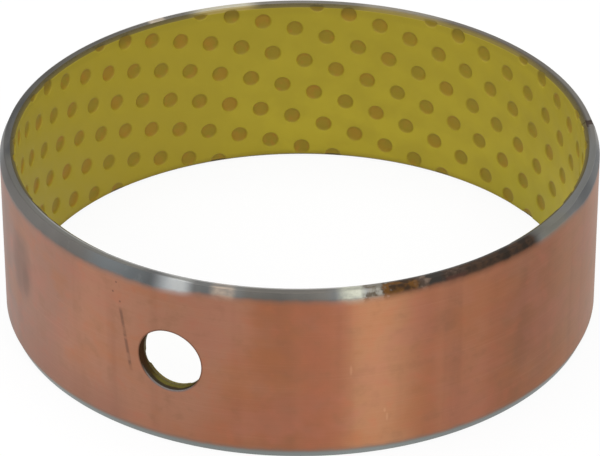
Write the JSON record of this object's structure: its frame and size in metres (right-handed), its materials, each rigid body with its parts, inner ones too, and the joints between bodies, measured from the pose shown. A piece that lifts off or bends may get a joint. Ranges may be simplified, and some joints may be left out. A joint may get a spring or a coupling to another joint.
{
  "type": "steel-backed wrapped bushing with dimpled polymer lining",
  "caption": "Thin-walled wrapped plain bushing: copper-plated steel back, bronze interlayer, yellow polymer lining with grease pockets, radial oil hole and butt seam.",
  "frame": {"origin": "centre of the lower end face, on the bore axis", "axes": "+Z along the bore axis, -Y towards the front with the oil hole 24.6 degrees round from it towards -X, seam 5.6 degrees round from +X"},
  "size_m": [0.1, 0.1, 0.0308],
  "materials": {
    "copper_plated_steel": "thin dull copper plating on steel, fine brush lines round the ring; bare grey steel on the turned ends",
    "sintered_bronze": "matt porous sintered bronze",
    "yellow_polymer": "satin olive-yellow bearing polymer"
  },
  "bodies": {
    "root": {"steel_back": "copper_plated_steel", "sintered_bronze": "sintered_bronze", "polymer_lining": "yellow_polymer"}
  },
  "joints": []
}
